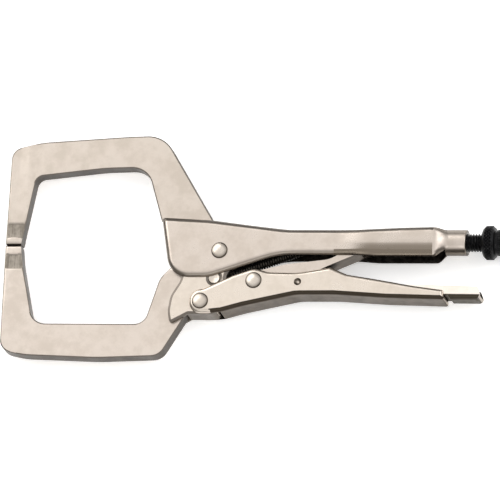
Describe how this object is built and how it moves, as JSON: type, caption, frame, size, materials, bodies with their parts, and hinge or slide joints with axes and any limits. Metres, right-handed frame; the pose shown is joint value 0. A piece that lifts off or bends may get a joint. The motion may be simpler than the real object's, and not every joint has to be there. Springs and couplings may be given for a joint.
{
  "type": "locking c-clamp pliers",
  "caption": "Locking pliers with two deep C-shaped jaws, pressed steel handles, a toggle link, a release lever and a knurled adjusting screw.",
  "frame": {"origin": "middle of the contact between the two jaw tips, on the mid-plane", "axes": "+X from the jaw tips to the adjusting knob, +Y from the lower jaw to the upper jaw, +Z along the pivots, up when the pliers lie flat"},
  "size_m": [0.2795, 0.1234, 0.0186],
  "materials": {
    "satin_nickel": "satin nickel plate",
    "rivet_nickel": "bright nickel plate",
    "inner_steel": "plain steel",
    "black_oxide": "black oxide"
  },
  "bodies": {
    "frame": {"upper_handle": "satin_nickel", "upper_jaw_arm": "satin_nickel", "upper_arm_spacer_front": "satin_nickel", "upper_arm_spacer_back": "satin_nickel", "main_pivot_rivet": "rivet_nickel", "spring_anchor": "inner_steel", "screw_sleeve": "inner_steel"},
    "lower_jaw": {"lower_jaw_arm": "satin_nickel", "knuckle": "satin_nickel", "knuckle_rivet": "rivet_nickel", "main_pivot_bush": "inner_steel"},
    "lower_handle": {"lower_handle": "satin_nickel", "jaw_lever_rivet": "rivet_nickel", "link_rivet": "rivet_nickel", "release_lever_pin": "rivet_nickel"},
    "link": {"toggle_link": "satin_nickel", "link_bush": "inner_steel"},
    "release": {"release_lever": "satin_nickel"},
    "spring": {"return_spring": "inner_steel"},
    "nose": {"screw_nose": "inner_steel"},
    "screw": {"adjusting_screw": "black_oxide", "adjusting_knob": "black_oxide"}
  },
  "joints": [
    {"name": "jaw_open", "type": "hinge", "parent": "frame", "child": "lower_jaw", "pos_m": [0.1139, -0.0044, 0], "axis": [0, 0, 1], "range_deg": [0, 22]},
    {"name": "handle_swing", "type": "hinge", "parent": "lower_jaw", "child": "lower_handle", "pos_m": [0.1053, -0.0324, 0], "axis": [0, 0, 1], "range_deg": [-66, 0]},
    {"name": "link_swing", "type": "hinge", "parent": "lower_handle", "child": "link", "pos_m": [0.1336, -0.021, 0], "axis": [0, 0, 1], "range_deg": [0, 65.56]},
    {"name": "spring_swing", "type": "hinge", "parent": "frame", "child": "spring", "pos_m": [0.16, -0.001, 0], "axis": [0, 0, 1], "range_deg": [0, 2.24]},
    {"name": "release_press", "type": "hinge", "parent": "lower_handle", "child": "release", "pos_m": [0.1576, -0.0218, 0], "axis": [0, 0, 1], "range_deg": [0, 4.5]},
    {"name": "screw_travel", "type": "slide", "parent": "frame", "child": "nose", "axis": [1, 0, 0], "range_m": [0, 0.022]},
    {"name": "screw_spin", "type": "hinge", "parent": "nose", "child": "screw", "pos_m": [0.23, 0.0022, 0], "axis": [1, 0, 0], "range_deg": [0, 5280]}
  ],
  "couplings": [
    {"joint": "handle_swing", "follows": "jaw_open", "ratio": -3},
    {"joint": "link_swing", "follows": "jaw_open", "ratio": 2.98},
    {"joint": "spring_swing", "follows": "jaw_open", "ratio": 0.102},
    {"joint": "screw_spin", "follows": "screw_travel", "rad_per_m": 4188.8}
  ]
}
